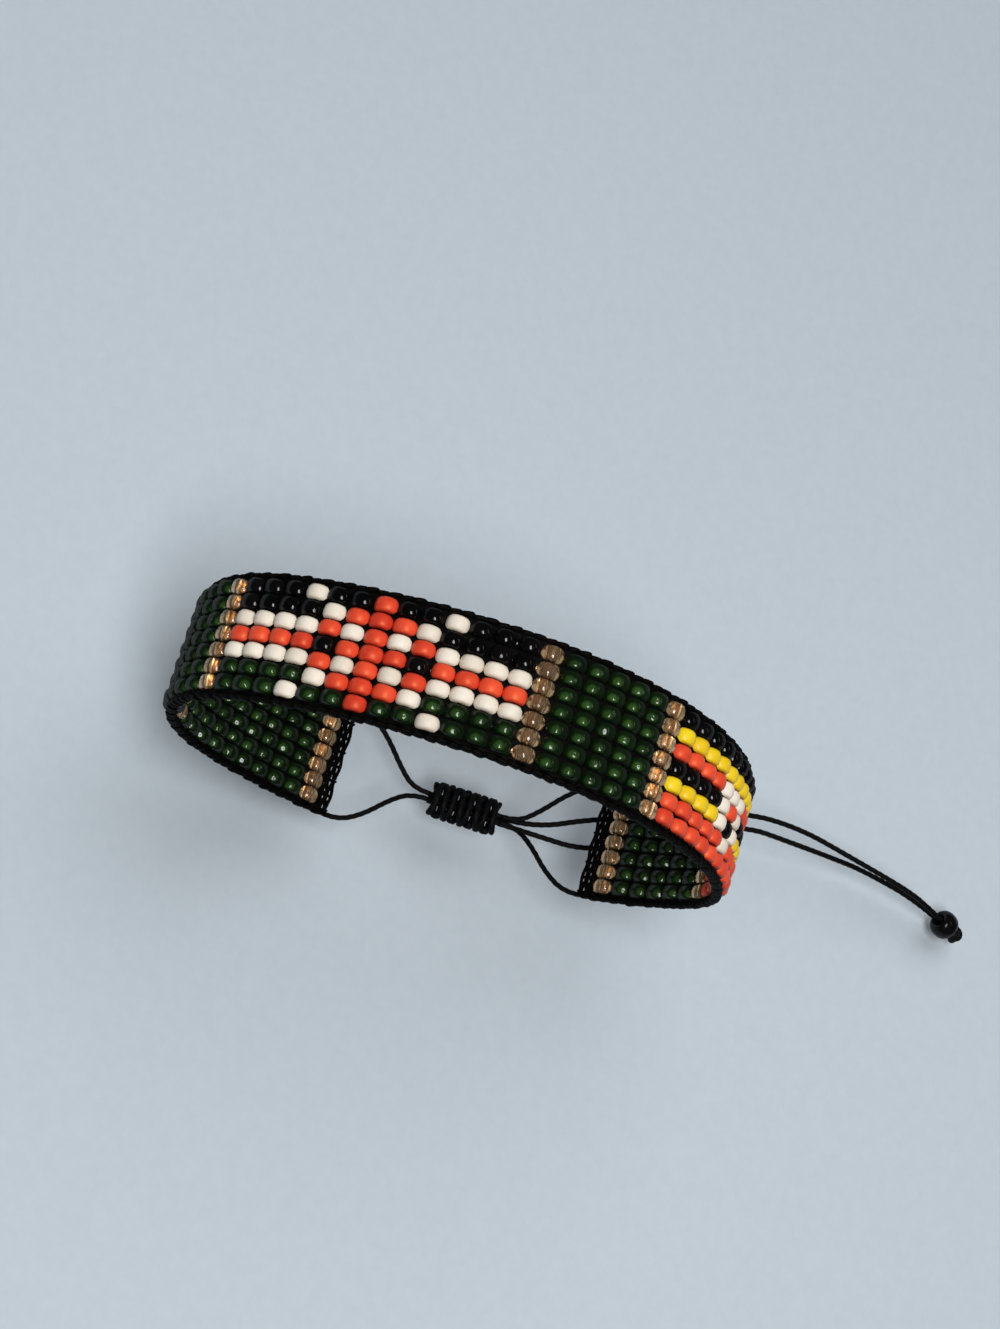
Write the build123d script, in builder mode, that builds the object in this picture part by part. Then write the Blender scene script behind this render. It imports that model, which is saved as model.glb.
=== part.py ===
from build123d import *
from math import atan2, cos, degrees, pi, radians, sin, tan
import os

# Bead-woven band bracelet, closed to its worn oval by cords drawn through a sliding knot.
# Millimetres. X runs across the oval, Y along the hollow and Z up through the crest.
# The origin is the middle of the hollow.

# The woven band: rows of beads side by side along Y, columns of beads following each other
bead_diameter = 2.2
column_pitch = 2.25
row_pitch = 1.62
row_count = 7

# The worn oval, measured through the middle of the beads
loop_width = 56.4
loop_depth = 43.0
crest_shift = 2.2            # how far the crest stands to the +X side of the middle
left_roundness = 0.76        # radius of the -X end, as a share of half the depth
right_roundness = 0.53       # radius of the +X end, as a share of half the depth

# The closure under the oval
closure_length = 31.75       # stretch of the oval that has no beads
closure_shift = 4.3          # middle of the closure, from the lowest point towards +X
binding_length = 1.6         # thread binding at each end of the weave
binding_thickness = 1.3
edge_cord_diameter = 0.6     # cord along each edge, as thick as its wrapping of thread
strand_diameter = 0.6        # the bare cord that leaves the edge at each end of the band
thread_gap = 0.05            # clearance between threads and what lies beside them
knot_length = 8.0
knot_width = 4.2
knot_thickness = 3.2
knot_rounding = 0.7

# The bead and the stop knot that end the two pull cords
pull_bead_diameter = 3.2
pull_bead_length = 2.2
stop_knot_diameter = 2.0
stop_knot_length = 1.4

# Route of a closing strand from the band's end to the knot:
# share of the way along, share of the way across still to go
closing_route = [(0.0, 1.0), (0.17, 1.0), (0.41, 0.71), (0.63, 0.27), (0.83, 0.0), (1.0, 0.0)]

# Routes of the two pull cords, as steps in X, Y and Z from the knot's +X face. Each starts
# with a run straight out of the knot. Both end with one run through the bead, side by side.
straight_out = 3.6
upper_pull_route = [(9.6, 3.45, 1.45), (17.55, 6.4, 1.55), (25.7, 10.1, 1.45), (32.75, 10.8, 0.7),
                    (39.9, 9.95, -0.1), (46.95, 9.05, -0.85)]
lower_pull_route = [(10.2, -0.1, 0.9), (17.7, 4.3, 1.45), (25.65, 8.6, 1.5), (32.4, 8.9, 0.75),
                    (37.75, 9.3, -0.55), (42.6, 9.85, -2.7)]
last_run_start = (50.55, 8.7, -2.8)
last_run = (4.6, -1.3, -1.75)
upper_over_lower = (0.2, -0.1, 0.86)   # direction from the lower cord to the upper in the bead

band_width = row_count * row_pitch
edge_offset = band_width / 2 + thread_gap + edge_cord_diameter / 2
strand_offset = (strand_diameter + thread_gap) / 2

# The oval is two halves that share the crest and the lowest point. Each half has a crest arc,
# an end arc and a lower arc, tangent to each other.
half_depth = loop_depth / 2
left_reach = loop_width / 2 + crest_shift
right_reach = loop_width / 2 - crest_shift
left_end_radius = left_roundness * half_depth
right_end_radius = right_roundness * half_depth


def crest_radius(reach, end_radius):
    """Radius of the long arc that is tangent to an end arc and level at the crest."""
    return (reach**2 + half_depth**2 - 2 * reach * end_radius) / (2 * (half_depth - end_radius))


left_crest_radius = crest_radius(left_reach, left_end_radius)
right_crest_radius = crest_radius(right_reach, right_end_radius)
left_turn = atan2(left_reach - left_end_radius, left_crest_radius - half_depth)
right_turn = atan2(right_reach - right_end_radius, right_crest_radius - half_depth)

# Arcs from the lowest point round by -X: centre X, centre Z, radius, first and last heading.
# A heading is the outward direction, turned from +Z towards +X.
oval = [
    (crest_shift, left_crest_radius - half_depth, left_crest_radius, -pi, left_turn - pi),
    (crest_shift - left_reach + left_end_radius, 0, left_end_radius, left_turn - pi, -left_turn),
    (crest_shift, half_depth - left_crest_radius, left_crest_radius, -left_turn, 0),
    (crest_shift, half_depth - right_crest_radius, right_crest_radius, 0, right_turn),
    (crest_shift + right_reach - right_end_radius, 0, right_end_radius, right_turn, pi - right_turn),
    (crest_shift, right_crest_radius - half_depth, right_crest_radius, pi - right_turn, pi),
]
left_length = sum(radius * (last - first) for _, _, radius, first, last in oval[:3])
right_length = sum(radius * (last - first) for _, _, radius, first, last in oval[3:])
loop_length = left_length + right_length

# The band holds a whole number of columns. Lengths along the oval are counted from its crest.
column_count = round((loop_length - closure_length) / column_pitch)
band_length = column_count * column_pitch
knot_place = right_length - closure_shift
band_end = knot_place - (loop_length - band_length) / 2
band_start = band_end - band_length
bound_end = band_end + binding_length
bound_start = band_start - binding_length


def spans(start, end):
    """The oval's arcs between two lengths counted from the crest."""
    found = []
    reached = -left_length
    for centre_x, centre_z, radius, first, last in oval:
        arc_end = reached + radius * (last - first)
        low = max(start, reached)
        high = min(end, arc_end)
        if high > low:
            turn_low = first + (low - reached) / radius
            turn_high = first + (high - reached) / radius
            found.append((centre_x, centre_z, radius, turn_low, turn_high))
        reached = arc_end
    return found


def place(length, out=0.0):
    """X, Z and heading at a length counted from the crest, moved outwards by out."""
    wrapped = (length + left_length) % loop_length - left_length
    reached = -left_length
    for centre_x, centre_z, radius, first, last in oval:
        arc_end = reached + radius * (last - first)
        if wrapped <= arc_end:
            heading = first + (wrapped - reached) / radius
            break
        reached = arc_end
    return centre_x + (radius + out) * sin(heading), centre_z + (radius + out) * cos(heading), heading


def draw_oval(start, end, out=0.0):
    """Draws a stretch of the oval, moved outwards by out, in the open line builder."""
    for centre_x, centre_z, radius, first, last in spans(start, end):
        CenterArc((centre_x, centre_z), radius + out, 90 - degrees(first), -degrees(last - first))


def draw_wall(start, end, thickness):
    """Draws the closed outline of a wall that follows the oval."""
    draw_oval(start, end, thickness / 2)
    draw_oval(start, end, -thickness / 2)
    for length in (start, end):
        Line(place(length, -thickness / 2)[:2], place(length, thickness / 2)[:2])


def corner_radii(points):
    """Radius of each corner of a route: as large as the runs beside it allow."""
    radii = []
    for before, corner, after in zip(points, points[1:], points[2:]):
        run_in = corner - before
        run_out = after - corner
        half_turn = radians(run_in.get_angle(run_out)) / 2
        radii.append(0.45 * min(run_in.length, run_out.length) / tan(half_turn))
    return radii


# The knot's own frame: along it, away from the band's +X end, and outwards from the hollow
knot_x, knot_z, knot_heading = place(knot_place)
knot_centre = Vector(knot_x, 0, knot_z)
knot_along = Vector(cos(knot_heading), 0, -sin(knot_heading))
knot_out = Vector(sin(knot_heading), 0, cos(knot_heading))


def closing_points(end_length, face, side):
    """Route of a closing strand: band's end, face of the knot it enters, and side of the band."""
    free_length = (knot_place + face * knot_length / 2 - end_length) % loop_length
    if face > 0:
        free_length -= loop_length
    start = end_length - face * thread_gap
    points = []
    for along, across in closing_route[:-2]:
        x, z, _ = place(start + along * free_length, -strand_offset * along)
        points.append(Vector(x, side * (strand_offset + across * (edge_offset - strand_offset)), z))
    last_share = closing_route[-1][0] - closing_route[-2][0]
    entry = knot_centre + knot_along * (face * knot_length / 2) - knot_out * strand_offset
    entry += Vector(0, side * strand_offset, 0)
    points.append(entry + knot_along * (face * last_share * abs(free_length)))
    points.append(entry)
    return points


# The pull cords' own frame: where they leave the knot, and how they lie in the bead
knot_mouth = knot_centre - knot_along * (knot_length / 2) + knot_out * strand_offset
pull_axis = Vector(*last_run).normalized()
lean = Vector(*upper_over_lower)
pull_side = (lean - pull_axis * lean.dot(pull_axis)).normalized() * strand_offset


def pull_points(side, route):
    """Route of a pull cord, from the knot's +X face to the stop knot."""
    leaving = knot_mouth + Vector(0, side * strand_offset, 0)
    points = [leaving, leaving - knot_along * straight_out]
    points += [knot_mouth + Vector(*step) for step in route]
    beside = knot_mouth + Vector(*last_run_start) + pull_side * side
    return points + [beside, beside + Vector(*last_run)]


with BuildPart() as bead_band:
    with BuildSketch(Plane.XZ):
        with BuildLine():
            draw_wall(band_start, band_end, bead_diameter)
        make_face()
    extrude(amount=band_width / 2, both=True)
bead_band.part.label = "bead_band"

bindings = {"end_binding_left": (bound_start, band_start - thread_gap),
            "end_binding_right": (band_end + thread_gap, bound_end)}
edge_places = {"edge_cord_near": -edge_offset, "edge_cord_far": edge_offset}
strands = {
    "closing_strand_right_near": closing_points(bound_end, -1, -1),
    "closing_strand_right_far": closing_points(bound_end, -1, 1),
    "closing_strand_left_near": closing_points(bound_start, 1, -1),
    "closing_strand_left_far": closing_points(bound_start, 1, 1),
    "pull_cord_upper": pull_points(1, upper_pull_route),
    "pull_cord_lower": pull_points(-1, lower_pull_route),
}

os.makedirs("parts", exist_ok=True)
export_step(bead_band.part, "parts/bead_band.step")

for name, (start, end) in bindings.items():
    with BuildPart() as binding:
        with BuildSketch(Plane.XZ):
            with BuildLine():
                draw_wall(start, end, binding_thickness)
            make_face()
        extrude(amount=band_width / 2, both=True)
    binding.part.label = name
    export_step(binding.part, f"parts/{name}.step")

for name, y in edge_places.items():
    with BuildPart() as edge_cord:
        with BuildLine(Plane.XZ.offset(-y)) as edge_path:
            draw_oval(bound_start, bound_end)
        with BuildSketch(edge_path.line ^ 0):
            Circle(edge_cord_diameter / 2)
        sweep()
    edge_cord.part.label = name
    export_step(edge_cord.part, f"parts/{name}.step")

for name, points in strands.items():
    radii = corner_radii(points)
    with BuildPart() as strand:
        with BuildLine() as strand_path:
            FilletPolyline(*points, radius=radii)
        with BuildSketch(strand_path.line ^ 0):
            Circle(strand_diameter / 2)
        sweep()
    strand.part.label = name
    export_step(strand.part, f"parts/{name}.step")
    length = strand_path.wires()[0].length
    expected = pi * strand_diameter**2 / 4 * length
    print(name, "length", round(length, 2), "volume share", round(strand.part.volume / expected, 4),
          "radii", [round(radius, 1) for radius in radii])

# The sliding knot is one plain barrel, a little flattened
with BuildPart() as sliding_knot:
    with BuildSketch(Plane(knot_centre, x_dir=(0, 1, 0), z_dir=knot_along)):
        Ellipse(knot_width / 2, knot_thickness / 2)
    extrude(amount=knot_length / 2, both=True)
    ends = sliding_knot.edges().filter_by(GeomType.ELLIPSE)
    fillet(ends, min(knot_rounding, knot_thickness / 4))
sliding_knot.part.label = "sliding_knot"
export_step(sliding_knot.part, "parts/sliding_knot.step")

# Both pull cords pass through the bead and end at the stop knot
cord_end = knot_mouth + Vector(*last_run_start) + Vector(*last_run)
hole_diameter = 2 * strand_offset + strand_diameter + 2 * thread_gap

with BuildPart() as stop_knot:
    with BuildSketch(Plane(cord_end, z_dir=pull_axis)):
        Circle(stop_knot_diameter / 2)
    extrude(amount=stop_knot_length)
    fillet(stop_knot.edges().filter_by(GeomType.CIRCLE), min(stop_knot_length, stop_knot_diameter) / 4)
stop_knot.part.label = "stop_knot"
export_step(stop_knot.part, "parts/stop_knot.step")

bead_centre = cord_end - pull_axis * (thread_gap + pull_bead_length / 2)
with BuildPart() as pull_bead:
    with BuildSketch(Plane(bead_centre, z_dir=pull_axis)):
        Circle(pull_bead_diameter / 2)
    extrude(amount=pull_bead_length / 2, both=True)
    wall = (pull_bead_diameter - hole_diameter) / 2
    fillet(pull_bead.edges().filter_by(GeomType.CIRCLE), min(pull_bead_length * 0.42, wall * 0.9))
    with BuildSketch(Plane(bead_centre, z_dir=pull_axis)):
        Circle(hole_diameter / 2)
    extrude(amount=pull_bead_length, both=True, mode=Mode.SUBTRACT)
pull_bead.part.label = "pull_bead"
export_step(pull_bead.part, "parts/pull_bead.step")

print("columns", column_count, "loop length", round(loop_length, 2), "band", round(band_start, 2),
      round(band_end, 2), "knot at", round(knot_place, 2))
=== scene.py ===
# A bead-woven band bracelet, closed to its worn oval by cords that run through a sliding knot.
# Metres. X runs across the oval, Y along the hollow and Z up through the crest of the band.
import random
from math import atan2, cos, pi, radians, sin

import bmesh
import bpy
from mathutils import Matrix, Vector


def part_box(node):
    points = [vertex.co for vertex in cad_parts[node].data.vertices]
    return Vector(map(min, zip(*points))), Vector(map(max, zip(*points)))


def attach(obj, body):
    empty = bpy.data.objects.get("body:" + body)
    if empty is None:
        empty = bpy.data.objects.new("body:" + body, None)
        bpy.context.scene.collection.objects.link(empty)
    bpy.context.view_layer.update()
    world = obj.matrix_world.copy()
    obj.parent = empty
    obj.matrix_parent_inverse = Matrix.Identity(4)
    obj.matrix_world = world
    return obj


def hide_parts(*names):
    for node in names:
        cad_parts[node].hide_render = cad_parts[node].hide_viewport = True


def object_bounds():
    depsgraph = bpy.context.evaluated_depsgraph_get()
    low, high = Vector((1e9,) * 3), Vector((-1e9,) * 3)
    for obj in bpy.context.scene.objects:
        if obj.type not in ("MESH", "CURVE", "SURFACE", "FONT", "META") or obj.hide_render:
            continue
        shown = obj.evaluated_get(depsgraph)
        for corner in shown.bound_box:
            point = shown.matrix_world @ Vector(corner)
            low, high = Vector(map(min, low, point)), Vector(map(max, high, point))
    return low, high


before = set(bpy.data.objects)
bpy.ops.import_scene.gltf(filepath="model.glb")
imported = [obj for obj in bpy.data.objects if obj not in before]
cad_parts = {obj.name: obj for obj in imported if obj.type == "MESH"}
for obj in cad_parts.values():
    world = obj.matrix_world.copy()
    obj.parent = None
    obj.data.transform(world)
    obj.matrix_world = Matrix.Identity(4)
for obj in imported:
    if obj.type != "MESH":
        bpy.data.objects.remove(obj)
cad_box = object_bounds()


# Camera: a short telephoto view from above the near edge, turned a little, so that the band
# runs down to the right across the picture and the tail lies in its lower right corner.
mm = 0.001
camera_place = Vector((-50.494, -66.773, 229.353)) * mm
camera_right = Vector((0.91336, 0.27837, 0.29714))
camera_up = Vector((-0.35003, 0.90962, 0.22377))
camera_back = camera_right.cross(camera_up)

camera_data = bpy.data.cameras.new("camera")
camera_data.lens = 90
camera_data.sensor_width = 36
camera_data.sensor_fit = "HORIZONTAL"
camera = bpy.data.objects.new("camera", camera_data)
camera.matrix_world = Matrix.Translation(camera_place) @ Matrix(
    (camera_right, camera_up, camera_back)).transposed().to_4x4()
bpy.context.scene.collection.objects.link(camera)
bpy.context.scene.camera = camera


# The cords: black waxed polyester, three plies laid round each other. This section makes what every
# cord and thread of the bracelet shares: a smooth line, the laid strand along it, and the finish.
def smooth_line(points):
    """Points along the smooth line that a cord with these control points takes."""
    curve = bpy.data.curves.new("line", "CURVE")
    curve.dimensions = "3D"
    spline = curve.splines.new("NURBS")
    spline.points.add(len(points) - 1)
    for spline_point, point in zip(spline.points, points):
        spline_point.co = (*point, 1)
    spline.order_u = 3
    spline.use_endpoint_u = True
    spline.resolution_u = 12
    holder = bpy.data.objects.new("line", curve)
    bpy.context.scene.collection.objects.link(holder)
    bpy.context.view_layer.update()
    depsgraph = bpy.context.evaluated_depsgraph_get()
    mesh = bpy.data.meshes.new_from_object(holder.evaluated_get(depsgraph))
    line = [vertex.co.copy() for vertex in mesh.vertices]
    bpy.data.objects.remove(holder)
    bpy.data.curves.remove(curve)
    bpy.data.meshes.remove(mesh)
    return line


def even_steps(line, step):
    """The same line, with its points one step apart."""
    lengths = [0.0]
    for before, after in zip(line, line[1:]):
        lengths.append(lengths[-1] + (after - before).length)
    count = max(2, round(lengths[-1] / step))
    even = []
    index = 0
    for k in range(count + 1):
        wanted = lengths[-1] * k / count
        while index < len(line) - 2 and lengths[index + 1] < wanted:
            index += 1
        span = lengths[index + 1] - lengths[index]
        even.append(line[index].lerp(line[index + 1], (wanted - lengths[index]) / span))
    return even


def lay_strand(bm, line, radius, sides=12, plies=3, lay=0, groove=0.12, across=None, section=None,
               closed=False, taper=0):
    """Sweeps a strand along a line. Its plies make one turn in each length of lay.

    The section is a circle, or is stretched by two factors, the first along the direction across.
    With a taper, the strand thins to a third over that many steps at both ends."""
    tip = 0.35
    own = bmesh.new()
    place = own.verts.layers.float_vector.new("cord_place")
    count = len(line)
    reached = 0.0
    side = across
    for k, point in enumerate(line):
        before = line[k - 1] if k > 0 or closed else line[0]
        after = line[(k + 1) % count] if k < count - 1 or closed else line[-1]
        ahead = (after - before).normalized()
        if side is None:
            side = ahead.orthogonal()
        side = (side - ahead * side.dot(ahead)).normalized()
        if k > 0:
            reached += (point - line[k - 1]).length
        size = radius
        if taper:
            size *= min(1, tip + (1 - tip) * min(k, count - 1 - k) / taper)
        wide, tall = section(k) if section else (1, 1)
        basis = Matrix((side, ahead.cross(side), ahead)).transposed().to_4x4()
        turn = Matrix.Rotation(2 * pi * reached / lay if lay else 0, 4, "Z")
        now = Matrix.Translation(point) @ basis @ Matrix.Diagonal((wide * size, tall * size, size, 1)) @ turn
        if k == 0:
            ring = bmesh.ops.create_circle(own, segments=sides, radius=1)["verts"]
            for vertex in ring:
                around = atan2(vertex.co.y, vertex.co.x)
                vertex.co *= 1 - groove * (0.5 - 0.5 * cos(plies * around))
            first_edges = own.edges[:]
            edges = first_edges
            shape = {vertex: vertex.co.copy() for vertex in ring}
        else:
            grown = bmesh.ops.extrude_edge_only(own, edges=edges)["geom"]
            ring = [item for item in grown if isinstance(item, bmesh.types.BMVert)]
            edges = [item for item in grown if isinstance(item, bmesh.types.BMEdge)
                     and len(item.link_faces) == 1]
            undo = last.inverted()
            shape = {vertex: undo @ vertex.co for vertex in ring}
        for vertex, local in shape.items():
            vertex.co = now @ local
            vertex[place] = (local.x, local.y, reached / radius)
        last = now
    if closed:
        bmesh.ops.bridge_loops(own, edges=edges + first_edges)
    else:
        bmesh.ops.contextual_create(own, geom=first_edges)
        bmesh.ops.contextual_create(own, geom=edges)
    mesh = bpy.data.meshes.new("strand")
    own.to_mesh(mesh)
    own.free()
    bm.from_mesh(mesh)
    bpy.data.meshes.remove(mesh)


def strand_mesh():
    """An empty mesh in which strands note their own place along and around themselves."""
    bm = bmesh.new()
    bm.verts.layers.float_vector.new("cord_place")
    return bm


def finish_piece(bm, name, material, replaced):
    """Turns a mesh into a smooth, named piece of the bracelet, in place of one plain solid."""
    bmesh.ops.recalc_face_normals(bm, faces=bm.faces)
    mesh = bpy.data.meshes.new(name)
    bm.to_mesh(mesh)
    bm.free()
    for polygon in mesh.polygons:
        polygon.use_smooth = True
    mesh.materials.append(material)
    piece = bpy.data.objects.new(name, mesh)
    bpy.context.scene.collection.objects.link(piece)
    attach(piece, "root")
    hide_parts(replaced)
    return piece


def add_node(tree, kind, inputs=None, **settings):
    """Adds a node with its settings and input values. A value that is a socket is linked."""
    node = tree.nodes.new(kind)
    for key, value in settings.items():
        setattr(node, key, value)
    for key, value in (inputs or {}).items():
        if isinstance(value, bpy.types.NodeSocket):
            tree.links.new(value, node.inputs[key])
        else:
            node.inputs[key].default_value = value
    return node


def new_material(name):
    """A material with its Principled shader, and the shader's node tree."""
    material = bpy.data.materials.new(name)
    material.use_nodes = True
    return material, material.node_tree, material.node_tree.nodes["Principled BSDF"]


def make_fibre_group():
    """Fibres of a laid strand: streaks drawn out along its plies, and specks of dust."""
    group = bpy.data.node_groups.new("laid_fibres", "ShaderNodeTree")
    group.interface.new_socket("Fineness", in_out="INPUT", socket_type="NodeSocketFloat")
    for socket in ("Streaks", "Dust"):
        group.interface.new_socket(socket, in_out="OUTPUT", socket_type="NodeSocketFloat")
    given = group.nodes.new("NodeGroupInput")
    put_out = group.nodes.new("NodeGroupOutput")
    place = add_node(group, "ShaderNodeAttribute", attribute_name="cord_place")
    drawn = add_node(group, "ShaderNodeVectorMath", {0: place.outputs["Vector"], 1: (1, 1, 0.16)},
                     operation="MULTIPLY")
    streaks = add_node(group, "ShaderNodeTexNoise",
                       {"Vector": drawn.outputs["Vector"], "Scale": given.outputs["Fineness"],
                        "Detail": 3, "Roughness": 0.6})
    dust = add_node(group, "ShaderNodeTexNoise",
                    {"Vector": place.outputs["Vector"], "Scale": 1.7, "Detail": 4, "Roughness": 0.7})
    dust_mask = add_node(group, "ShaderNodeMapRange",
                         {"Value": dust.outputs["Fac"], "From Min": 0.52, "From Max": 0.78})
    group.links.new(streaks.outputs["Fac"], put_out.inputs["Streaks"])
    group.links.new(dust_mask.outputs["Result"], put_out.inputs["Dust"])
    return group


laid_fibres = make_fibre_group()


def thread_material(name, dark, light, dusty, roughness, shine, fineness, bump):
    """Black waxed thread or cord, with fibres, a little dust and a soft shine."""
    material, tree, shader = new_material(name)
    fibres = add_node(tree, "ShaderNodeGroup", node_tree=laid_fibres)
    fibres.inputs["Fineness"].default_value = fineness
    streaks = fibres.outputs["Streaks"]
    fibre_colour = add_node(tree, "ShaderNodeMix", {6: (*dark, 1), 7: (*light, 1), 0: streaks},
                            data_type="RGBA")
    colour = add_node(tree, "ShaderNodeMix", {6: fibre_colour.outputs[2], 7: (*dusty, 1),
                                              0: fibres.outputs["Dust"]}, data_type="RGBA")
    tree.links.new(colour.outputs[2], shader.inputs["Base Color"])
    rough = add_node(tree, "ShaderNodeMapRange", {"Value": streaks, "To Min": roughness[0],
                                                  "To Max": roughness[1]})
    tree.links.new(rough.outputs["Result"], shader.inputs["Roughness"])
    relief = add_node(tree, "ShaderNodeBump", {"Height": streaks, "Strength": bump, "Distance": 0.04 * mm})
    tree.links.new(relief.outputs["Normal"], shader.inputs["Normal"])
    shader.inputs["Specular IOR Level"].default_value = shine
    return material


cord_black = thread_material("waxed_cord", dark=(0.0010, 0.0010, 0.0012), light=(0.0042, 0.0042, 0.0048),
                             dusty=(0.010, 0.0096, 0.0090), roughness=(0.46, 0.66), shine=0.10,
                             fineness=5.0, bump=0.5)
thread_black = thread_material("waxed_thread", dark=(0.0004, 0.0003, 0.0003), light=(0.0022, 0.0018, 0.0016),
                               dusty=(0.0060, 0.0052, 0.0045), roughness=(0.54, 0.74), shine=0.04,
                               fineness=3.0, bump=0.4)


# The tail: the two waxed cords of the left side of the closure. They come out of the sliding knot side
# by side, open into a long narrow loop, and close up one over the other before the bead on both of them.
cord_diameter = 0.6 * mm
cord_lay = 2.6 * mm
cord_step = 0.3 * mm
laid_radius = 1.05 * cord_diameter / 2
strand_gap = 0.05 * mm
strand_offset = (cord_diameter + strand_gap) / 2
knot_mouth = Vector((10.483, 0, -20.845)) * mm
out_of_knot = Vector((0.98735, 0, 0.15858))
straight_out = 3.6 * mm
upper_route = [(9.6, 3.45, 1.45), (17.55, 6.4, 1.55), (25.7, 10.1, 1.45), (32.75, 10.8, 0.7),
               (39.9, 9.95, -0.1), (46.95, 9.05, -0.85)]
lower_route = [(10.2, -0.1, 0.9), (17.7, 4.3, 1.45), (25.65, 8.6, 1.5), (32.4, 8.9, 0.75),
               (37.75, 9.3, -0.55), (42.6, 9.85, -2.7)]
last_run_start = Vector((50.55, 8.7, -2.8)) * mm
last_run = Vector((4.6, -1.3, -1.75)) * mm
upper_over_lower = Vector((0.2, -0.1, 0.86))
tail_axis = last_run.normalized()
across_tail = upper_over_lower - tail_axis * upper_over_lower.dot(tail_axis)
strand_shift = across_tail.normalized() * strand_offset


def tail_points(side, route):
    """Control points of one strand of the tail, from the knot's face to the stop knot."""
    leaving = knot_mouth + Vector((0, side * strand_offset, 0))
    at_bead = knot_mouth + last_run_start + strand_shift * side
    return [leaving, leaving + out_of_knot * straight_out,
            *(knot_mouth + Vector(step) * mm for step in route), at_bead, at_bead + last_run]


tail_strands = {}
for name, side, route in (("pull_cord_upper", 1, upper_route), ("pull_cord_lower", -1, lower_route)):
    line = even_steps(smooth_line(tail_points(side, route)), cord_step)
    bm = strand_mesh()
    lay_strand(bm, line, laid_radius, lay=cord_lay)
    strand = finish_piece(bm, f"{name}_laid", cord_black, name)
    tail_strands[name] = (strand, line)


# The end of the tail: a plain round bead of black glass, drilled for both strands, and the overhand
# knot that the two are tied in behind it, which keeps it from slipping off.
end_bead_radius = 1.6 * mm
end_bead_length = 2.2 * mm
end_hole_radius = 0.675 * mm
cord_end = knot_mouth + last_run_start + last_run
end_bead_centre = cord_end - tail_axis * (strand_gap + end_bead_length / 2)
tail_turn = Vector((0, 0, 1)).rotation_difference(tail_axis).to_matrix().to_4x4()


def revolve(bm, profile, axis, steps):
    """Spins a closed profile of (radius, place along the axis) once round the axis."""
    if axis == "Y":
        points = [Vector((0, along, radius)) for radius, along in profile]
        direction = Vector((0, 1, 0))
    else:
        points = [Vector((radius, 0, along)) for radius, along in profile]
        direction = Vector((0, 0, 1))
    ring = [bm.verts.new(point) for point in points]
    edges = [bm.edges.new((a, b)) for a, b in zip(ring, ring[1:] + ring[:1])]
    bmesh.ops.spin(bm, geom=ring + edges, axis=direction, cent=(0, 0, 0), angle=2 * pi, steps=steps,
                   use_merge=True)


def rounded_profile(radius, half_length, hole, shoulder, spans):
    """A bead's profile: a full curve outside, a lip at each end and a straight hole."""
    lip = 1.35 * hole
    hole_end = 0.86 * half_length
    profile = [(hole, -hole_end)]
    for k in range(spans + 1):
        around = -pi / 2 + pi * k / spans
        along = half_length * abs(sin(around)) ** (2 / shoulder) * (1 if around > 0 else -1)
        reach = lip + (radius - lip) * abs(cos(around)) ** (2 / shoulder)
        profile.append((reach, along))
    profile.append((hole, hole_end))
    return profile


end_bead_profile = rounded_profile(end_bead_radius, end_bead_length / 2, end_hole_radius, shoulder=2.2,
                                   spans=14)
bm = bmesh.new()
revolve(bm, end_bead_profile, "Z", steps=40)
bmesh.ops.transform(bm, matrix=Matrix.Translation(end_bead_centre) @ tail_turn, verts=bm.verts)
end_bead_glass, tree, shader = new_material("end_bead_glass")
coordinates = add_node(tree, "ShaderNodeTexCoord")
wear = add_node(tree, "ShaderNodeTexNoise", {"Vector": coordinates.outputs["Object"], "Scale": 2200,
                                             "Detail": 4, "Roughness": 0.6})
wear_rough = add_node(tree, "ShaderNodeMapRange", {"Value": wear.outputs["Fac"], "From Min": 0.35,
                                                   "From Max": 0.75, "To Min": 0.14, "To Max": 0.30})
wear_tone = add_node(tree, "ShaderNodeMix", {6: (0.0012, 0.0011, 0.0012, 1), 7: (0.006, 0.0052, 0.005, 1),
                                             0: wear.outputs["Fac"]}, data_type="RGBA")
wear_bump = add_node(tree, "ShaderNodeBump", {"Height": wear.outputs["Fac"], "Strength": 0.12,
                                              "Distance": 0.03 * mm})
tree.links.new(wear_tone.outputs[2], shader.inputs["Base Color"])
tree.links.new(wear_rough.outputs["Result"], shader.inputs["Roughness"])
tree.links.new(wear_bump.outputs["Normal"], shader.inputs["Normal"])
shader.inputs["Specular IOR Level"].default_value = 0.15
end_bead = finish_piece(bm, "end_bead", end_bead_glass, "pull_bead")

stop_knot_length = 1.4 * mm
stop_knot_turn = 0.36 * mm
stop_knot_swing = 0.15 * mm
stop_knot_weave = 0.32 * mm
stop_knot_strand = 0.56 * mm
stop_knot_steps = 48
inner_step = 0.2 * mm
knot_line = []
for k in range(stop_knot_steps):
    around = 2 * pi * k / stop_knot_steps
    reach = stop_knot_turn + stop_knot_swing * cos(3 * around)
    knot_line.append(Vector((reach * cos(2 * around), reach * sin(2 * around),
                             stop_knot_weave * sin(3 * around))))
bm = strand_mesh()
lay_strand(bm, knot_line, stop_knot_strand, sides=14, groove=0.06, closed=True)
for side in (-1, 1):
    inside_knot = [Vector((side * 0.3, 0, -0.65)) * mm, Vector((side * 0.3, 0, 0)) * mm,
                   Vector((side * 0.15, side * 0.15, 0.6)) * mm]
    lay_strand(bm, even_steps(smooth_line(inside_knot), inner_step), cord_diameter / 2, lay=cord_lay)
stop_centre = cord_end + tail_axis * (stop_knot_length / 2)
bmesh.ops.transform(bm, matrix=Matrix.Translation(stop_centre) @ tail_turn, verts=bm.verts)
stop_knot = finish_piece(bm, "stop_knot_tied", cord_black, "stop_knot")

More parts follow.
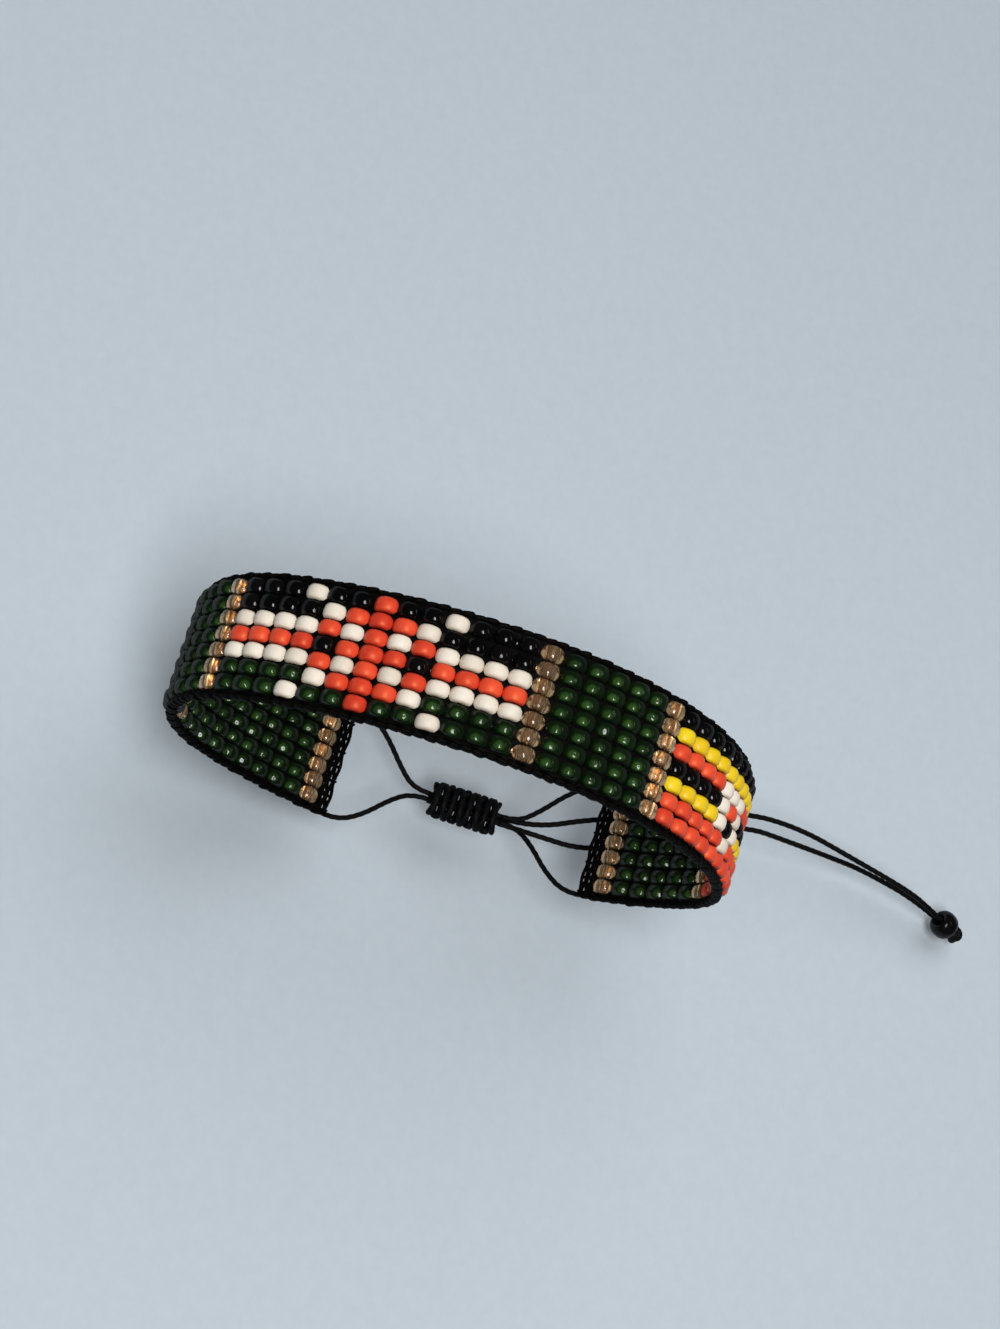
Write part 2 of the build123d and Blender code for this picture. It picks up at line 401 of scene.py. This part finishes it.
for name, side in (("pull_cord_upper", 1), ("pull_cord_lower", -1)):
    strand, line = tail_strands[name]
    length = sum((after - before).length for before, after in zip(line, line[1:]))


# The oval that the band is worn in: on each side of the crest a long arc, an end arc and a long lower
# arc, tangent to each other. Lengths along it are counted from the crest, towards +X.
bead_diameter = 2.2 * mm
column_pitch = 2.25 * mm
row_pitch = 1.62 * mm
row_count = 7
band_low, band_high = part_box("bead_band")
half_depth = band_high.z - bead_diameter / 2
loop_width = band_high.x - band_low.x - bead_diameter
crest_shift = 2.2 * mm
end_roundness = {-1: 0.76, 1: 0.53}
band_start = -70.34 * mm
column_count = 55
band_end = band_start + column_count * column_pitch
knot_place = 69.28 * mm
binding_length = 1.6 * mm
edge_gap = 0.35 * mm
edge_offset = row_count * row_pitch / 2 + edge_gap
rounding = 1e-9

oval = []
side_length = {}
for side in (-1, 1):
    reach = loop_width / 2 - side * crest_shift
    end_radius = end_roundness[side] * half_depth
    long_radius = (reach**2 + half_depth**2 - 2 * reach * end_radius) / (2 * (half_depth - end_radius))
    turn = atan2(reach - end_radius, long_radius - half_depth)
    arcs = [(half_depth - long_radius, 0, long_radius, turn),
            (0, reach - end_radius, end_radius, pi - 2 * turn),
            (long_radius - half_depth, 0, long_radius, turn)]
    side_length[side] = sum(radius * angle for _, _, radius, angle in arcs)
    heading = 0
    for centre_z, centre_x, radius, angle in arcs:
        oval.append((side, crest_shift + side * centre_x, centre_z, radius, heading, angle))
        heading += angle
loop_length = side_length[-1] + side_length[1]


def on_oval(length, y=0.0, out=0.0):
    """The point at a length from the crest, and the directions along the band and outwards there."""
    if length > side_length[1]:
        length -= loop_length
    if length < -side_length[-1]:
        length += loop_length
    wanted = abs(length)
    for side, centre_x, centre_z, radius, heading, angle in oval:
        if side * length < 0:
            continue
        if wanted <= radius * angle + rounding:
            break
        wanted -= radius * angle
    turned = side * (heading + wanted / radius)
    outward = Vector((sin(turned), 0, cos(turned)))
    along = Vector((cos(turned), 0, -sin(turned)))
    point = Vector((centre_x, y, centre_z)) + outward * (radius + out)
    return point, along, outward


# The seed beads: tumbled glass, drilled along Y and strung on the wefts in seven rows. Every bead is a
# little longer, rounder or more tilted than the next, which is what makes the rows uneven.
seed_radius = bead_diameter / 2
seed_half_length = 0.785 * mm
seed_hole = 0.45 * mm
seed_sides = 12
seed_girth = 0.995
wider_than_tall = 1.075
along_scatter = 0.022 * mm
across_scatter = 0.02 * mm
height_scatter = 0.03 * mm
tilt_degrees = 1.6
twist_degrees = 1.9

# The bead charts, from the far row to the near one and from the left column to the right.
panel_shield = ["KKKWKKRKKWKKK",
                "KKKKWRRRWKKKK",
                "WWWWRWRWRWWWW",
                "RRRRKRRRKRRRR",
                "WWWWRWRWRWWWW",
                "GGGGWRRRWGGGG",
                "GGGWGGRGGWGGG"]
panel_stripes = ["KKKKKKKKKKK",
                 "YYYYYYYYYYY",
                 "RRRRWWWRRRR",
                 "KKKKWRWKKKK",
                 "YYYYWKWYYYY",
                 "RRRRRWRRRRR",
                 "RRRRRRRRRRR"]
plan = [("B", 1), ("G", 9), ("B", 1), ("G", 5), ("B", 1), (panel_shield, 13), ("B", 1), ("G", 5), ("B", 1),
        (panel_stripes, 11), ("B", 1), ("G", 5), ("B", 1)]
bead_names = {"K": "black", "W": "white", "R": "red", "Y": "yellow", "G": "green", "B": "gold"}

chart = []
for section, columns in plan:
    for column in range(columns):
        if isinstance(section, str):
            chart.append(section * row_count)
        else:
            chart.append("".join(row[column] for row in section))

chance = random.Random(11)
places = {colour: [] for colour in bead_names}
for column, colours in enumerate(chart):
    for row, colour in enumerate(colours):
        length = band_start + (column + 0.5) * column_pitch + chance.gauss(0, along_scatter)
        y = (row_count // 2 - row) * row_pitch + chance.gauss(0, across_scatter)
        point, along, outward = on_oval(length, y, chance.gauss(0, height_scatter))
        basis = Matrix((along, Vector((0, 1, 0)), outward)).transposed().to_4x4()
        tilt = Matrix.Rotation(radians(chance.gauss(0, tilt_degrees)), 4, "X")
        twist = Matrix.Rotation(radians(chance.gauss(0, twist_degrees)), 4, "Z")
        roll = Matrix.Rotation(radians(chance.uniform(0, 30)), 4, "Y")
        girth = seed_girth + chance.uniform(-0.02, 0.015)
        size = Matrix.Diagonal((girth * wider_than_tall, 1 + chance.uniform(-0.04, 0.02), girth, 1))
        matrix = Matrix.Translation(point) @ basis @ tilt @ twist @ size
        places[colour].append((matrix, roll, chance.random()))


def seed_template(profile, sides):
    """One bead at the origin, drilled along Y. Each point keeps its place in the bead."""
    bm = bmesh.new()
    place = bm.verts.layers.float_vector.new("bead_place")
    revolve(bm, profile, "Y", sides)
    for vertex in bm.verts:
        vertex[place] = vertex.co / seed_radius
    mesh = bpy.data.meshes.new("seed_template")
    bm.to_mesh(mesh)
    bm.free()
    return mesh


def string_beads(template, spots):
    """A mesh with one bead at each spot, and a tone for each bead."""
    bm = bmesh.new()
    for matrix, roll, shade in spots:
        counted = len(bm.verts)
        bm.from_mesh(template)
        tone = bm.verts.layers.float.get("bead_tone") or bm.verts.layers.float.new("bead_tone")
        bm.verts.ensure_lookup_table()
        fresh = bm.verts[counted:]
        for vertex in fresh:
            vertex[tone] = shade
        bmesh.ops.transform(bm, matrix=matrix @ roll, verts=fresh)
    return bm


def make_glass_group():
    """Tumbled glass: the tone of each bead, a cloudy mottling, painted shade and grime that darken the glass
    toward the holes, and small pits.
    """
    group = bpy.data.node_groups.new("tumbled_glass", "ShaderNodeTree")
    for socket in ("Bead Contrast", "Mottle Scale", "Pit Scale"):
        group.interface.new_socket(socket, in_out="INPUT", socket_type="NodeSocketFloat")
    for socket in ("Tone", "End Shade And Grime", "Pits", "Height"):
        group.interface.new_socket(socket, in_out="OUTPUT", socket_type="NodeSocketFloat")
    given = group.nodes.new("NodeGroupInput")
    put_out = group.nodes.new("NodeGroupOutput")
    place = add_node(group, "ShaderNodeAttribute", attribute_name="bead_place")
    tone = add_node(group, "ShaderNodeAttribute", attribute_name="bead_tone")
    own = add_node(group, "ShaderNodeVectorMath", {0: tone.outputs["Vector"], 1: (37, 53, 71),
                                                   2: place.outputs["Vector"]}, operation="MULTIPLY_ADD")
    mottle = add_node(group, "ShaderNodeTexNoise", {"Vector": own.outputs["Vector"],
                                                    "Scale": given.outputs["Mottle Scale"], "Detail": 3})
    bead_part = add_node(group, "ShaderNodeMath", {0: tone.outputs["Fac"],
                                                   1: given.outputs["Bead Contrast"]}, operation="MULTIPLY")
    mixed = add_node(group, "ShaderNodeMath", {0: bead_part.outputs["Value"], 1: mottle.outputs["Fac"]},
                     operation="ADD")
    toned = add_node(group, "ShaderNodeMapRange", {"Value": mixed.outputs["Value"], "From Min": 0.25,
                                                   "From Max": 1.3})
    apart = add_node(group, "ShaderNodeSeparateXYZ", {"Vector": place.outputs["Vector"]})
    from_middle = add_node(group, "ShaderNodeMath", {0: apart.outputs["Y"]}, operation="ABSOLUTE")
    # Painted shade and grime: a mask that darkens the glass toward both hole ends, where the beads meet.
    end_shade_and_grime = add_node(group, "ShaderNodeMapRange", {"Value": from_middle.outputs["Value"], "From Min": 0.50,
                                                   "From Max": 0.72})
    pits = add_node(group, "ShaderNodeTexVoronoi", {"Vector": own.outputs["Vector"],
                                                    "Scale": given.outputs["Pit Scale"]})
    pit_mask = add_node(group, "ShaderNodeMapRange", {"Value": pits.outputs["Distance"], "From Min": 0.06,
                                                      "From Max": 0.24, "To Min": 1, "To Max": 0})
    wave = add_node(group, "ShaderNodeTexNoise", {"Vector": own.outputs["Vector"], "Scale": 1.5,
                                                  "Detail": 1})
    height = add_node(group, "ShaderNodeMath", {0: pit_mask.outputs["Result"], 1: -0.25,
                                                2: wave.outputs["Fac"]}, operation="MULTIPLY_ADD")
    group.links.new(toned.outputs["Result"], put_out.inputs["Tone"])
    group.links.new(end_shade_and_grime.outputs["Result"], put_out.inputs["End Shade And Grime"])
    group.links.new(pit_mask.outputs["Result"], put_out.inputs["Pits"])
    group.links.new(height.outputs["Value"], put_out.inputs["Height"])
    return group


tumbled_glass = make_glass_group()


def glass_material(name, deep, light, end_shade_and_grime, roughness, bump, shine=0.5, rim_dulling=0.0):
    """Bead glass whose colour runs from deep to light, darkened toward the holes by painted shade and grime,
    with rougher pits.

    Rim dulling keeps dark glass from mirroring the room along its outline."""
    material, tree, shader = new_material(name)
    glass = add_node(tree, "ShaderNodeGroup", node_tree=tumbled_glass)
    glass.inputs["Bead Contrast"].default_value = 0.75
    glass.inputs["Mottle Scale"].default_value = 1.3
    glass.inputs["Pit Scale"].default_value = 5.5
    colour = add_node(tree, "ShaderNodeMix", {6: (*deep, 1), 7: (*light, 1), 0: glass.outputs["Tone"]},
                      data_type="RGBA")
    # Toward the hole ends the colour is mixed with a darker one: painted shade and grime.
    shaded_and_grimy = add_node(tree, "ShaderNodeMix", {6: colour.outputs[2], 7: (*end_shade_and_grime, 1),
                                             0: glass.outputs["End Shade And Grime"]}, data_type="RGBA")
    tree.links.new(shaded_and_grimy.outputs[2], shader.inputs["Base Color"])
    rough = add_node(tree, "ShaderNodeMapRange", {"Value": glass.outputs["Pits"], "To Min": roughness[0],
                                                  "To Max": roughness[1]})
    gloss = rough.outputs["Result"]
    if rim_dulling:
        facing = add_node(tree, "ShaderNodeLayerWeight", {"Blend": 0.5})
        dull_rim = add_node(tree, "ShaderNodeMapRange", {"Value": facing.outputs["Facing"], "From Min": 0.25,
                                                         "From Max": 0.6, "To Max": rim_dulling})
        duller = add_node(tree, "ShaderNodeMath", {0: gloss, 1: dull_rim.outputs["Result"]}, operation="ADD")
        gloss = duller.outputs["Value"]
    tree.links.new(gloss, shader.inputs["Roughness"])
    relief = add_node(tree, "ShaderNodeBump", {"Height": glass.outputs["Height"], "Strength": bump,
                                               "Distance": 0.05 * mm})
    tree.links.new(relief.outputs["Normal"], shader.inputs["Normal"])
    shader.inputs["Specular IOR Level"].default_value = shine
    return material, tree, shader


black_glass, _, _ = glass_material(
    "black_glass", deep=(0.0008, 0.0006, 0.0006), light=(0.0028, 0.0022, 0.0022),
    end_shade_and_grime=(0.001, 0.001, 0.001), roughness=(0.09, 0.18), bump=0.3, shine=0.24, rim_dulling=0.5)
white_glass, _, _ = glass_material(
    "white_glass", deep=(0.66, 0.58, 0.47), light=(0.82, 0.74, 0.63), end_shade_and_grime=(0.46, 0.38, 0.28),
    roughness=(0.45, 0.6), bump=0.2, shine=0.14)
yellow_glass, _, _ = glass_material(
    "yellow_glass", deep=(0.70, 0.43, 0.006), light=(0.84, 0.61, 0.015), end_shade_and_grime=(0.45, 0.22, 0.005),
    roughness=(0.36, 0.5), bump=0.2, shine=0.3)

red_glass, _, shader = glass_material(
    "red_glass", deep=(0.55, 0.030, 0.015), light=(0.79, 0.080, 0.032), end_shade_and_grime=(0.26, 0.010, 0.006),
    roughness=(0.43, 0.54), bump=0.2, shine=0.7)
shader.inputs["Specular Tint"].default_value = (1.0, 0.55, 0.25, 1)

gold_glass, _, shader = glass_material(
    "gold_glass", deep=(0.50, 0.30, 0.14), light=(0.78, 0.52, 0.29), end_shade_and_grime=(0.30, 0.17, 0.08),
    roughness=(0.07, 0.15), bump=0.6)
shader.inputs["Transmission Weight"].default_value = 0.9
shader.inputs["IOR"].default_value = 1.52

green_glass, tree, shader = glass_material(
    "green_glass", deep=(0.005, 0.017, 0.003), light=(0.030, 0.080, 0.014), end_shade_and_grime=(0.001, 0.003, 0.001),
    roughness=(0.14, 0.22), bump=0.4, shine=0.34, rim_dulling=0.5)
# Painted glow and painted shade: the base colour is lit green in the middle of each bead, where it faces the
# viewer, and near black along its outline.
painted_glow_facing = add_node(tree, "ShaderNodeLayerWeight", {"Blend": 0.5})
painted_glow_middle = add_node(tree, "ShaderNodeMapRange", {"Value": painted_glow_facing.outputs["Facing"], "From Min": 0.0,
                                                     "From Max": 0.15, "To Min": 1, "To Max": 0.10},
                        interpolation_type="SMOOTHSTEP")
# The near-black green is painted shade along each bead's outline.
painted_glow_and_rim_shade = add_node(tree, "ShaderNodeMix", {6: (0.0012, 0.0045, 0.0012, 1),
                                             7: shader.inputs["Base Color"].links[0].from_socket,
                                             0: painted_glow_middle.outputs["Result"]}, data_type="RGBA")
tree.links.new(painted_glow_and_rim_shade.outputs[2], shader.inputs["Base Color"])
place = add_node(tree, "ShaderNodeAttribute", attribute_name="bead_place")
ripples = add_node(tree, "ShaderNodeTexVoronoi", {"Vector": place.outputs["Vector"], "Scale": 2.6},
                   feature="SMOOTH_F1")
relief = shader.inputs["Normal"].links[0].from_node
tree.links.new(ripples.outputs["Distance"], relief.inputs["Height"])
relief.inputs["Distance"].default_value = 0.16 * mm

bead_finish = {"K": black_glass, "W": white_glass, "R": red_glass, "Y": yellow_glass, "G": green_glass,
               "B": gold_glass}
seed_profile = rounded_profile(seed_radius, seed_half_length, seed_hole, shoulder=2.3, spans=6)
seed_bead = seed_template(seed_profile, seed_sides)
for colour, name in bead_names.items():
    bm = string_beads(seed_bead, places[colour])
    finish_piece(bm, f"{name}_beads", bead_finish[colour], "bead_band")


# The lining of the gold beads: a mirror coat in their holes, which are square, so that broad uneven
# flats catch the light through the bronze glass round them.
lining_radius = 0.52 * mm
lining_half_length = 0.6 * mm
lining_profile = [(seed_hole, -lining_half_length), (lining_radius, -lining_half_length),
                  (lining_radius, lining_half_length), (seed_hole, lining_half_length)]
lining = seed_template(lining_profile, 4)


def lining_material(name, dull, bright, roughness, ripple_depth):
    """A thin mirror coating inside the hole, rippled along it and a little tarnished."""
    material, tree, shader = new_material(name)
    place = add_node(tree, "ShaderNodeAttribute", attribute_name="bead_place")
    tone = add_node(tree, "ShaderNodeAttribute", attribute_name="bead_tone")
    drawn = add_node(tree, "ShaderNodeVectorMath", {0: place.outputs["Vector"], 1: (1, 0.7, 1)},
                     operation="MULTIPLY")
    own = add_node(tree, "ShaderNodeVectorMath", {0: tone.outputs["Vector"], 1: (32, 48, 60),
                                                  2: drawn.outputs["Vector"]}, operation="MULTIPLY_ADD")
    ripple = add_node(tree, "ShaderNodeTexNoise", {"Vector": own.outputs["Vector"], "Scale": 3.6,
                                                   "Detail": 2})
    tarnish = add_node(tree, "ShaderNodeMapRange", {"Value": ripple.outputs["Fac"], "From Min": 0.35,
                                                    "From Max": 0.62})
    colour = add_node(tree, "ShaderNodeMix", {6: (*dull, 1), 7: (*bright, 1), 0: tarnish.outputs["Result"]},
                      data_type="RGBA")
    bump = add_node(tree, "ShaderNodeBump", {"Height": ripple.outputs["Fac"], "Strength": 0.7,
                                             "Distance": ripple_depth})
    tree.links.new(colour.outputs[2], shader.inputs["Base Color"])
    tree.links.new(bump.outputs["Normal"], shader.inputs["Normal"])
    shader.inputs["Metallic"].default_value = 1.0
    shader.inputs["Roughness"].default_value = roughness
    return material


silver_lining = lining_material("silver_lining", dull=(0.58, 0.45, 0.32), bright=(1.0, 0.97, 0.90),
                                roughness=0.34, ripple_depth=0.14 * mm)
linings = finish_piece(string_beads(lining, places["B"]), "gold_bead_linings", silver_lining,
                       "bead_band")
linings.data.shade_flat()


# The weave: black waxed threads. A bundle of warps runs between the rows, pressed flat by the beads'
# ends and spread in the corners between them, and the weft crosses through the holes of each column.
weft_radius = 0.2 * mm
column_steps = 6
lead_steps = 4
lead = lead_steps * column_pitch / column_steps
pinched_bundle = (0.12, 0.52)
spread_bundle = (0.75, 0.32)


def oval_line(start, end, y, step):
    """Points along the oval between two lengths, at one place across the band."""
    count = max(2, round((end - start) / step))
    return [on_oval(start + (end - start) * k / count, y)[0] for k in range(count + 1)]


def bundle_section(k):
    """How far a bundle of warps spreads across the band and how tall it stands, at one step."""
    free = abs(cos(pi * (k - lead_steps) / column_steps)) ** 4
    return [pinched + (spread - pinched) * free for pinched, spread in zip(pinched_bundle, spread_bundle)]


bm = strand_mesh()
for gap in range(row_count + 1):
    y = (row_count / 2 - gap) * row_pitch
    line = oval_line(band_start - lead, band_end + lead, y, column_pitch / column_steps)
    lay_strand(bm, line, 1 * mm, sides=10, plies=4, groove=0.1, across=Vector((0, 1, 0)),
               section=bundle_section)
for column in range(column_count):
    length = band_start + (column + 0.5) * column_pitch
    ends = [on_oval(length, side * edge_offset)[0] for side in (-1, 1)]
    lay_strand(bm, ends, weft_radius, sides=6, plies=2)
finish_piece(bm, "warp_and_weft", thread_black, "bead_band")


# The edge cords: a laid waxed cord along each edge of the band, wrapped by the weft where it turns
# back into the next column. The flat doubled wraps stand out as small even bumps.
bound_start = band_start - binding_length
bound_end = band_end + binding_length
core_section = (0.24, 0.46)
core_step = 0.5 * mm
wrap_across = 0.2 * mm
wrap_tall = 0.43 * mm
wrap_section = (0.60, 0.09)
wrap_steps = 12
wraps_per_column = 2
wrap_pitch = column_pitch / wraps_per_column
high_wrap = 0.07 * mm
wrap_slant = 7
wrap_path = []
for k in range(wrap_steps):
    around = 2 * pi * k / wrap_steps
    wrap_path.append(Vector((0, wrap_across * cos(around), wrap_tall * sin(around))))
bm = strand_mesh()
lay_strand(bm, wrap_path, 1 * mm, sides=8, groove=0, across=Vector((1, 0, 0)),
           section=lambda k: wrap_section, closed=True)
wrap_template = bpy.data.meshes.new("wrap")
bm.to_mesh(wrap_template)
bm.free()

chance = random.Random(23)
for name, side in (("near", -1), ("far", 1)):
    bm = strand_mesh()
    core = oval_line(bound_start, bound_end, side * edge_offset, core_step)
    lay_strand(bm, core, 1 * mm, across=Vector((0, 1, 0)), section=lambda k: core_section)
    for wrap in range(-1, column_count * wraps_per_column + 1):
        length = band_start + (wrap + 0.5) * wrap_pitch + chance.gauss(0, 0.03) * mm
        proud = chance.gauss(0, 0.02) * mm + (wrap % 2) * high_wrap
        point, along, outward = on_oval(length, side * (edge_offset + proud))
        basis = Matrix((along, Vector((0, 1, 0)), outward)).transposed().to_4x4()
        slant = Matrix.Rotation(radians(side * wrap_slant + chance.gauss(0, 2.5)), 4, "Z")
        size = Matrix.Diagonal((chance.uniform(0.95, 1.04), 1, chance.uniform(0.96, 1.08), 1))
        counted = len(bm.verts)
        bm.from_mesh(wrap_template)
        bm.verts.ensure_lookup_table()
        bmesh.ops.transform(bm, matrix=Matrix.Translation(point) @ basis @ slant @ size,
                            verts=bm.verts[counted:])
    finish_piece(bm, f"edge_cord_{name}_wrapped", thread_black, f"edge_cord_{name}")


# The bindings: at each end of the band the waxed weft goes on without beads, in five close passes over
# and under the warps, which lock the last column.
pass_count = 5
pass_radius = 0.2 * mm
pass_lift = 0.2 * mm
pass_lay = 0.9 * mm
pass_steps = 60
for name, start in (("left", bound_start), ("right", band_end)):
    bm = strand_mesh()
    for k in range(pass_count):
        length = start + (k + 0.5) * binding_length / pass_count
        line = []
        for step in range(pass_steps + 1):
            y = (2 * step / pass_steps - 1) * edge_offset
            lift = pass_lift * sin(pi * (y / row_pitch + k))
            line.append(on_oval(length, y, lift)[0])
        lay_strand(bm, line, pass_radius, sides=8, plies=2, lay=pass_lay)
    finish_piece(bm, f"end_binding_{name}_woven", thread_black, f"end_binding_{name}")


# The closing strands: past the bindings the edge cords run on as bare waxed cord, draw together under
# the hollow and enter the sliding knot, two from each side.
knot_centre, knot_along, knot_outward = on_oval(knot_place)
knot_length = 8.0 * mm
tucked_in = 0.3 * mm
closing_route = [(0.0, 1.0), (0.17, 1.0), (0.41, 0.71), (0.63, 0.27)]
entry_share = 0.17
for end_name, end_length, face in (("right", bound_end, 1), ("left", bound_start, -1)):
    for side_name, side in (("near", -1), ("far", 1)):
        start = end_length - face * tucked_in
        reach = knot_place - face * knot_length / 2 - start
        if face < 0:
            reach -= loop_length
        points = []
        for share, across in closing_route:
            y = side * (strand_offset + across * (edge_offset - strand_offset))
            points.append(on_oval(start + share * reach, y, -strand_offset * share)[0])
        entry = (knot_centre - knot_along * (face * knot_length / 2) - knot_outward * strand_offset
                 + Vector((0, side * strand_offset, 0)))
        points.append(entry - knot_along * (face * entry_share * abs(reach)))
        points.append(entry)
        bm = strand_mesh()
        lay_strand(bm, even_steps(smooth_line(points), cord_step), cord_diameter / 2, lay=cord_lay)
        finish_piece(bm, f"closing_strand_{end_name}_{side_name}_laid", cord_black,
                     f"closing_strand_{end_name}_{side_name}")


# The sliding knot: a short row of square knots in waxed cord, tied over the four strands. One working
# cord always crosses in front and the other behind, and each turns back round the other at the sides.
working_radius = 0.4 * mm
working_step = 0.22 * mm
half_knots = 8
half_knot_steps = 20
bar_height = 1.10 * mm
bar_flatness = 0.7
side_dip = 0.30 * mm
side_reach = 1.66 * mm
bunching = 0.75
core_strand_step = 0.4 * mm
knot_frame = Matrix.Translation(knot_centre) @ Matrix(
    (Vector((0, 1, 0)), knot_outward, knot_along)).transposed().to_4x4()
bm = strand_mesh()
for front in (1, -1):
    line = []
    for step in range(half_knot_steps * half_knots + 1):
        tied = step / half_knot_steps
        crossing = abs(sin(pi * tied))
        y = front * side_reach * cos(pi * tied)
        lift = front * (bar_height * crossing**bar_flatness - side_dip * (1 - crossing) ** 2)
        share = (tied + bunching * sin(2 * pi * tied) / (2 * pi)) / half_knots - 0.5
        line.append(Vector((y, lift, share * (knot_length - 2 * working_radius))))
    lay_strand(bm, even_steps(line, working_step), working_radius, sides=14, lay=cord_lay, taper=3)
for y in (-strand_offset, strand_offset):
    for lift in (-strand_offset, strand_offset):
        ends = [Vector((y, lift, side * knot_length / 2)) for side in (-1, 1)]
        lay_strand(bm, even_steps(ends, core_strand_step), cord_diameter / 2, lay=cord_lay)
bmesh.ops.transform(bm, matrix=knot_frame, verts=bm.verts)
finish_piece(bm, "sliding_knot_tied", cord_black, "sliding_knot")


# The floor: a plain pale sheet of matt paper just under the bracelet, which reaches far enough to
# fill the background of low views.
floor_gap = 1.5 * mm
floor_reach = 30
floor_height = cad_box[0][2] - floor_gap
bm = bmesh.new()
bmesh.ops.create_grid(bm, x_segments=1, y_segments=1, size=floor_reach)
bmesh.ops.translate(bm, vec=(0, 0, floor_height), verts=bm.verts)
floor_mesh = bpy.data.meshes.new("floor")
bm.to_mesh(floor_mesh)
bm.free()
floor = bpy.data.objects.new("floor", floor_mesh)
bpy.context.scene.collection.objects.link(floor)
paper, tree, shader = new_material("pale_paper")
coordinates = add_node(tree, "ShaderNodeTexCoord")
tooth = add_node(tree, "ShaderNodeTexNoise", {"Vector": coordinates.outputs["Object"], "Scale": 900,
                                              "Detail": 3})
paper_tone = add_node(tree, "ShaderNodeMix", {6: (0.47, 0.53, 0.58, 1), 7: (0.52, 0.58, 0.63, 1),
                                              0: tooth.outputs["Fac"]}, data_type="RGBA")
tree.links.new(paper_tone.outputs[2], shader.inputs["Base Color"])
shader.inputs["Roughness"].default_value = 0.9
floor_mesh.materials.append(paper)


# The light: a tall oval soft box beside the camera gives each glossy bead one small upright highlight,
# and a weak strip stands far to the right. Soft daylight from the upper right shades the beads and the
# floor but shows in no reflection, and the room is dim and even.
def add_light(light, direction, distance):
    """Puts a light where it looks at the middle of the bracelet, upright in the picture."""
    toward = direction.normalized()
    across = camera_up.cross(toward).normalized()
    turn = Matrix((across, toward.cross(across), toward)).transposed().to_4x4()
    holder = bpy.data.objects.new(light.name, light)
    holder.matrix_world = Matrix.Translation(toward * distance) @ turn
    bpy.context.scene.collection.objects.link(holder)
    return holder


def soft_box(name, direction, distance, width, height, watts):
    """An oval area light."""
    light = bpy.data.lights.new(name, "AREA")
    light.shape = "ELLIPSE"
    light.size = width
    light.size_y = height
    light.energy = watts
    add_light(light, direction, distance)


soft_box("key_light", camera_back + camera_right * 0.20, distance=0.45, width=0.13, height=0.26, watts=1.6)
soft_box("strip_light", camera_back * 0.6 + camera_right + camera_up * 0.2, distance=0.6, width=0.07,
         height=0.34, watts=0.13)
daylight = bpy.data.lights.new("daylight", "SUN")
daylight.angle = radians(50)
daylight.energy = 1.15
sun = add_light(daylight, camera_back * 0.6 + camera_right * 0.45 + camera_up * 0.6, distance=1)
sun.visible_glossy = False
world = bpy.data.worlds.new("room")
world.use_nodes = True
world.node_tree.nodes["Background"].inputs["Color"].default_value = (0.90, 0.94, 1.0, 1)
world.node_tree.nodes["Background"].inputs["Strength"].default_value = 0.07
bpy.context.scene.world = world
bpy.context.scene.view_settings.view_transform = "Standard"
